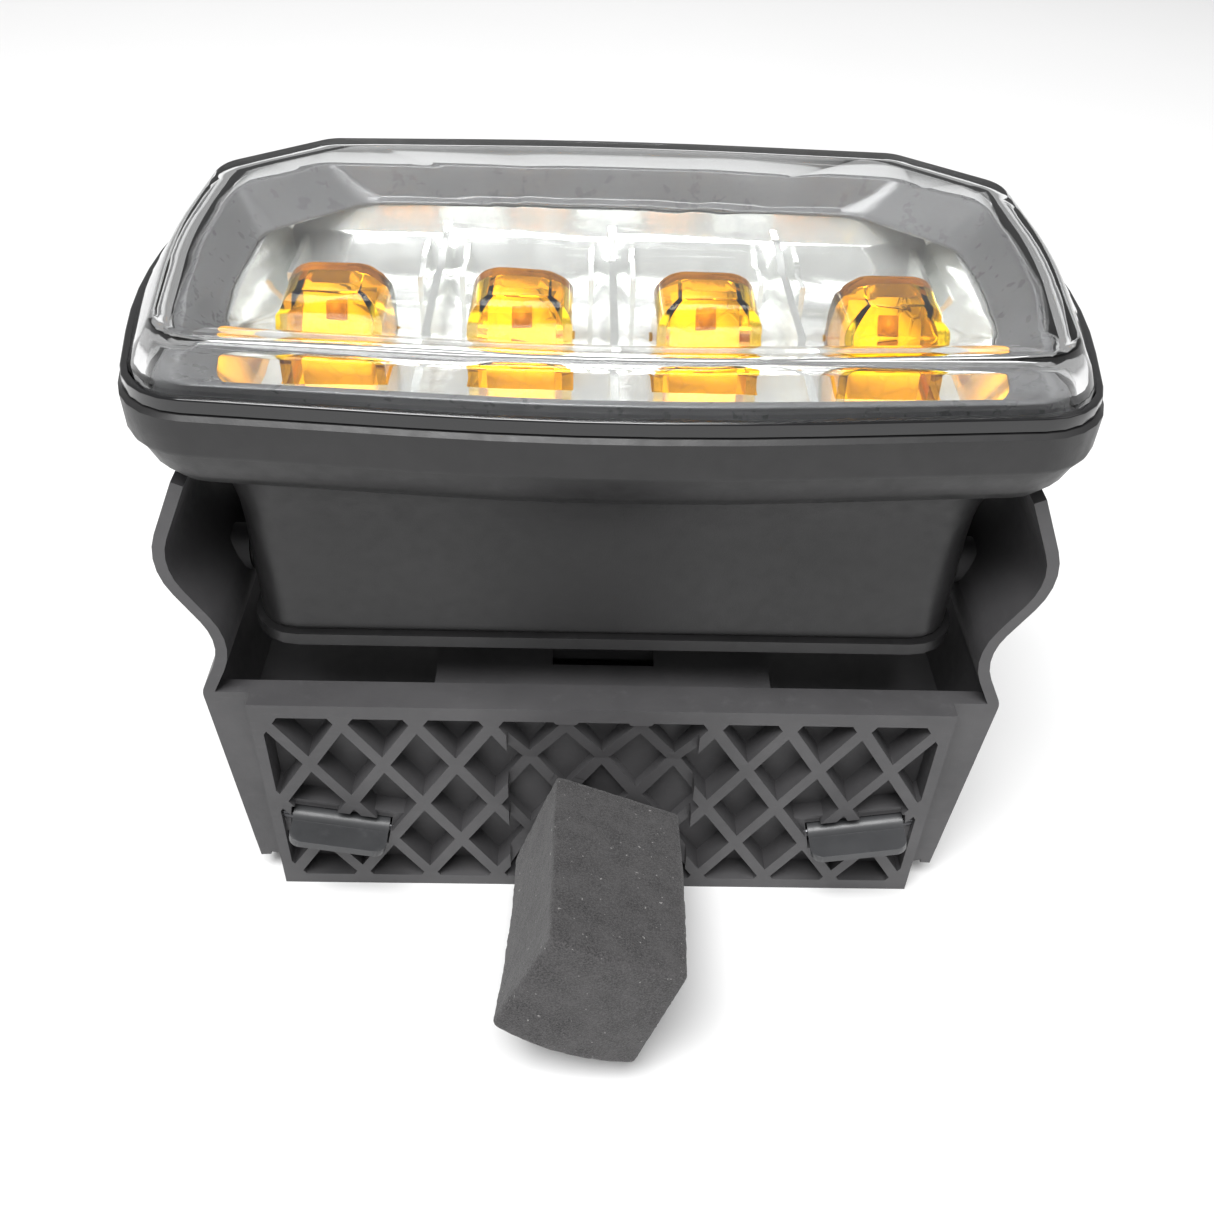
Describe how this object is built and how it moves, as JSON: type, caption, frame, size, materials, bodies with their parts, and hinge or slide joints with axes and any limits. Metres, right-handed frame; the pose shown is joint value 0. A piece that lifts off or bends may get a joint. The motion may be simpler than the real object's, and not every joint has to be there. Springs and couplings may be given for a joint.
{
  "type": "fog light",
  "caption": "LED fog light with amber-capped emitters behind a deep clear lens, on a lattice-fronted moulded bracket with curved side walls, sprung latches and a foam block.",
  "frame": {"origin": "centre of the four threaded inserts in the base, on the plane that the bracket stands on", "axes": "+Z from the base towards the lens face, +X along the row of LEDs to the right seen from the lattice side, +Y from the lattice side to the connector side"},
  "size_m": [0.168, 0.131, 0.1368],
  "materials": {
    "clear_lens": "clear moulded polycarbonate, polished",
    "black_gloss": "gloss black",
    "seal_rubber": "matt",
    "grey_gloss": "semi-gloss dark grey",
    "mirror_coat": "vacuum-metallised",
    "amber": "transparent amber, polished",
    "led_package": "white package with phosphor",
    "white_board": "white solder mask",
    "pad_grey": "matt",
    "sink_aluminium": "as extruded",
    "zinc_steel": "zinc plated",
    "green_board": "green solder mask",
    "chip_black": "moulded epoxy",
    "coil_copper": "lacquered copper on ferrite",
    "capacitor_can": "sleeved can",
    "contact_brass": "plain",
    "black_satin": "satin moulded plastic",
    "vent_grey": "matt",
    "socket_black": "satin",
    "black_grained": "fine moulded grain",
    "foam_grey": "open-cell foam",
    "latch_gloss": "smooth",
    "pin_steel": "ground",
    "spring_steel": "drawn wire"
  },
  "bodies": {
    "lamp": {"outer_lens": "clear_lens", "lens_frame": "black_gloss", "lens_seal": "seal_rubber", "inner_bezel": "grey_gloss", "reflector": "mirror_coat", "amber_optic_1": "amber", "amber_optic_2": "amber", "amber_optic_3": "amber", "amber_optic_4": "amber", "led_1": "led_package", "led_2": "led_package", "led_3": "led_package", "led_4": "led_package", "led_carriers": "white_board", "led_board": "white_board", "thermal_pad": "pad_grey", "heat_sink": "sink_aluminium", "board_screws": "zinc_steel", "heat_sink_screws": "zinc_steel", "driver_board": "green_board", "driver_chips": "chip_black", "driver_coil": "coil_copper", "driver_capacitors": "capacitor_can", "board_link_pins": "contact_brass", "housing": "black_satin", "rear_cover": "black_satin", "rear_cover_seal": "seal_rubber", "cover_screws": "zinc_steel", "breather_vent": "vent_grey", "connector_socket": "socket_black", "connector_pins": "contact_brass", "mounting_bracket": "black_grained", "bracket_screws": "zinc_steel", "bracket_inserts": "contact_brass", "foam_block": "foam_grey", "latch_pin_left": "pin_steel", "latch_pin_right": "pin_steel", "latch_spring_left": "spring_steel", "latch_spring_right": "spring_steel"},
    "latch_left": {"latch_left": "latch_gloss"},
    "latch_right": {"latch_right": "latch_gloss"}
  },
  "joints": [
    {"name": "latch_left_hinge", "type": "hinge", "parent": "lamp", "child": "latch_left", "pos_m": [-0.0545, -0.034, 0.019], "axis": [-0.9816, 0, 0.1908], "range_deg": [0, 50], "stiffness_Nm_per_rad": 0.02, "springref_deg": -17.19},
    {"name": "latch_right_hinge", "type": "hinge", "parent": "lamp", "child": "latch_right", "pos_m": [0.0545, -0.034, 0.019], "axis": [-0.9816, 0, -0.1908], "range_deg": [0, 50], "stiffness_Nm_per_rad": 0.02, "springref_deg": -17.19}
  ]
}
